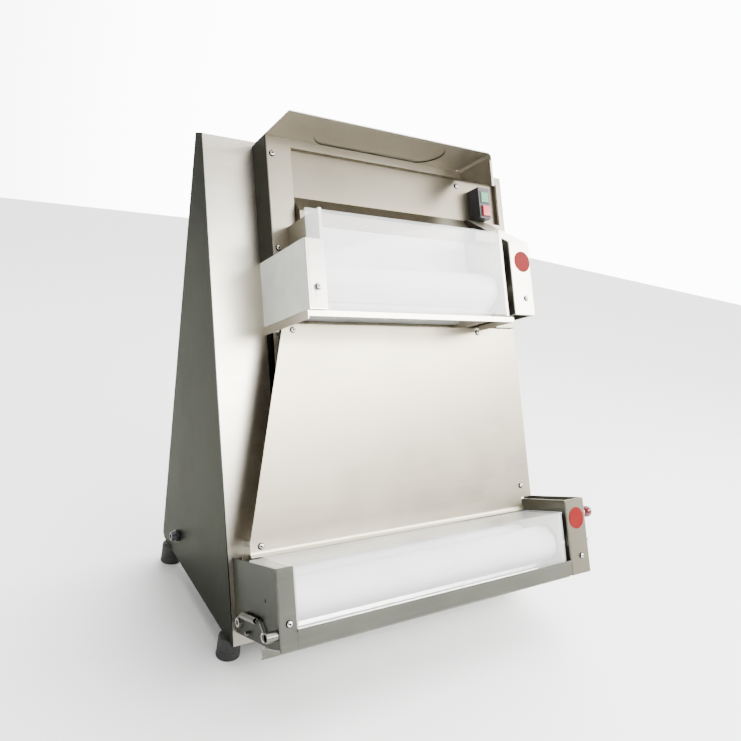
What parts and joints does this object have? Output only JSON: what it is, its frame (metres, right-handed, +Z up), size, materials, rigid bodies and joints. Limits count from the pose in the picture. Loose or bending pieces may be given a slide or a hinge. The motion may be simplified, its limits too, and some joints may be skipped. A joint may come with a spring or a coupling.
{
  "type": "dough sheeter",
  "caption": "Two-stage bench dough sheeter with sloped brushed-steel body, paired upper and lower rollers behind clear guards, a chute, gap levers and rubber feet.",
  "frame": {"origin": "on the floor, under the middle of the bounding box", "axes": "+X along the rollers to the machine's right end, -Y out of the front, +Z up"},
  "size_m": [0.6582, 0.4636, 0.7848],
  "materials": {
    "side_steel": "brushed, darker, satin",
    "panel_steel": "brushed along the rollers, satin",
    "chute_steel": "brushed upright, satin",
    "frame_steel": "plain cold-rolled",
    "bright_steel": "turned and polished",
    "roller_white": "smooth food-grade plastic",
    "guide_white": "food-grade plastic",
    "clear_guard": "clear polycarbonate sheet",
    "black_rubber": "moulded",
    "black_plastic": "moulded",
    "green_button": "moulded",
    "red_button": "moulded",
    "red_disc": "printed film, plain",
    "red_knob": "polished",
    "brass_bush": "machined",
    "gear_steel": "machined, oiled",
    "belt_rubber": "fibre-backed",
    "motor_housing": "cast, grey enamel"
  },
  "bodies": {
    "frame": {"left_side_panel": "side_steel", "right_side_panel": "side_steel", "body_shell": "panel_steel", "base_plate": "frame_steel", "back_cover": "side_steel", "back_cover_screws": "bright_steel", "rubber_feet": "black_rubber", "cable_gland": "black_plastic", "head_casing": "panel_steel", "infeed_back_plate": "panel_steel", "front_screws": "bright_steel", "canopy": "panel_steel", "switch_body": "black_plastic", "chute": "chute_steel", "chute_standoffs": "bright_steel", "gear_motor": "motor_housing", "shaft_support": "frame_steel", "upper_belt": "belt_rubber", "lower_belt": "belt_rubber", "roller_bushes": "brass_bush", "upper_left_cheek": "panel_steel", "upper_inner_plate": "panel_steel", "upper_right_plate": "panel_steel", "upper_guard": "clear_guard", "upper_end_box": "panel_steel", "upper_feed_guide": "guide_white", "upper_exit_rim": "panel_steel", "upper_scrapers": "guide_white", "lower_left_plate": "side_steel", "lower_inner_plate": "panel_steel", "lower_right_plate": "panel_steel", "lower_guard": "clear_guard", "lower_end_box": "panel_steel", "lower_front_lip": "panel_steel", "lower_tray": "panel_steel", "lower_scrapers": "bright_steel", "scraper_spring": "bright_steel", "marker_discs": "red_disc", "guard_screws": "bright_steel"},
    "lower_rear": {"lower_rear_roller": "roller_white", "lower_rear_gear": "gear_steel"},
    "upper_rear": {"upper_rear_roller": "roller_white", "upper_rear_gear": "gear_steel"},
    "drive": {"drive_shaft": "gear_steel", "drive_pulleys": "gear_steel"},
    "upper_carriage": {"upper_slide_blocks": "brass_bush"},
    "upper_front": {"upper_front_roller": "roller_white", "upper_front_gear": "gear_steel"},
    "lower_carriage": {"lower_slide_blocks": "brass_bush"},
    "lower_front": {"lower_front_roller": "roller_white", "lower_front_gear": "gear_steel"},
    "upper_adjuster": {"upper_lever": "bright_steel"},
    "upper_pin": {"upper_index_pin": "bright_steel", "upper_ball_knob": "red_knob"},
    "lower_adjuster": {"lower_lever": "bright_steel"},
    "lower_pin": {"lower_index_pin": "bright_steel", "lower_ball_knob": "red_knob"},
    "start_button": {"start_button": "green_button"},
    "stop_button": {"stop_button": "red_button"}
  },
  "joints": [
    {"name": "lower_rear_spin", "type": "hinge", "parent": "frame", "child": "lower_rear", "pos_m": [-0.01215, -0.11355, 0.11754], "axis": [1, 0, 0], "continuous": true},
    {"name": "upper_rear_spin", "type": "hinge", "parent": "frame", "child": "upper_rear", "pos_m": [-0.01215, 0.06745, 0.52407], "axis": [1, 0, 0], "continuous": true},
    {"name": "drive_spin", "type": "hinge", "parent": "frame", "child": "drive", "pos_m": [-0.25215, 0.03489, 0.11166], "axis": [1, 0, 0], "continuous": true},
    {"name": "upper_gap", "type": "slide", "parent": "frame", "child": "upper_carriage", "axis": [0, -0.9135, 0.4067], "range_m": [-0.00293, 0.00147]},
    {"name": "upper_front_spin", "type": "hinge", "parent": "upper_carriage", "child": "upper_front", "pos_m": [-0.01215, 0.00941, 0.54991], "axis": [1, 0, 0], "continuous": true},
    {"name": "lower_gap", "type": "slide", "parent": "frame", "child": "lower_carriage", "axis": [0, -0.9135, 0.4067], "range_m": [0, 0.0044]},
    {"name": "lower_front_spin", "type": "hinge", "parent": "lower_carriage", "child": "lower_front", "pos_m": [-0.01215, -0.16891, 0.14219], "axis": [1, 0, 0], "continuous": true},
    {"name": "upper_lever_turn", "type": "hinge", "parent": "frame", "child": "upper_adjuster", "pos_m": [0.18785, -0.01477, 0.56068], "axis": [1, 0, 0], "range_deg": [-30.01, 60.01]},
    {"name": "lower_lever_turn", "type": "hinge", "parent": "frame", "child": "lower_adjuster", "pos_m": [0.26785, -0.19577, 0.15415], "axis": [1, 0, 0], "range_deg": [-90.01, 0.01]},
    {"name": "upper_pin_pull", "type": "slide", "parent": "upper_adjuster", "child": "upper_pin", "axis": [1, 0, 0], "range_m": [0, 0.005], "stiffness_N_per_m": 600, "springref_m": -0.002},
    {"name": "lower_pin_pull", "type": "slide", "parent": "lower_adjuster", "child": "lower_pin", "axis": [1, 0, 0], "range_m": [0, 0.005], "stiffness_N_per_m": 600, "springref_m": -0.002},
    {"name": "start_press", "type": "slide", "parent": "frame", "child": "start_button", "axis": [0, 0.9135, -0.4067], "range_m": [0, 0.0025], "stiffness_N_per_m": 500, "springref_m": -0.001},
    {"name": "stop_press", "type": "slide", "parent": "frame", "child": "stop_button", "axis": [0, 0.9135, -0.4067], "range_m": [0, 0.0025], "stiffness_N_per_m": 500, "springref_m": -0.001}
  ],
  "couplings": [
    {"joint": "upper_rear_spin", "follows": "lower_rear_spin", "ratio": 1},
    {"joint": "drive_spin", "follows": "lower_rear_spin", "ratio": 1.2},
    {"joint": "upper_front_spin", "follows": "lower_rear_spin", "ratio": -1},
    {"joint": "lower_front_spin", "follows": "lower_rear_spin", "ratio": -1},
    {"joint": "upper_lever_turn", "follows": "upper_gap", "rad_per_m": -357},
    {"joint": "lower_lever_turn", "follows": "lower_gap", "rad_per_m": -357}
  ]
}
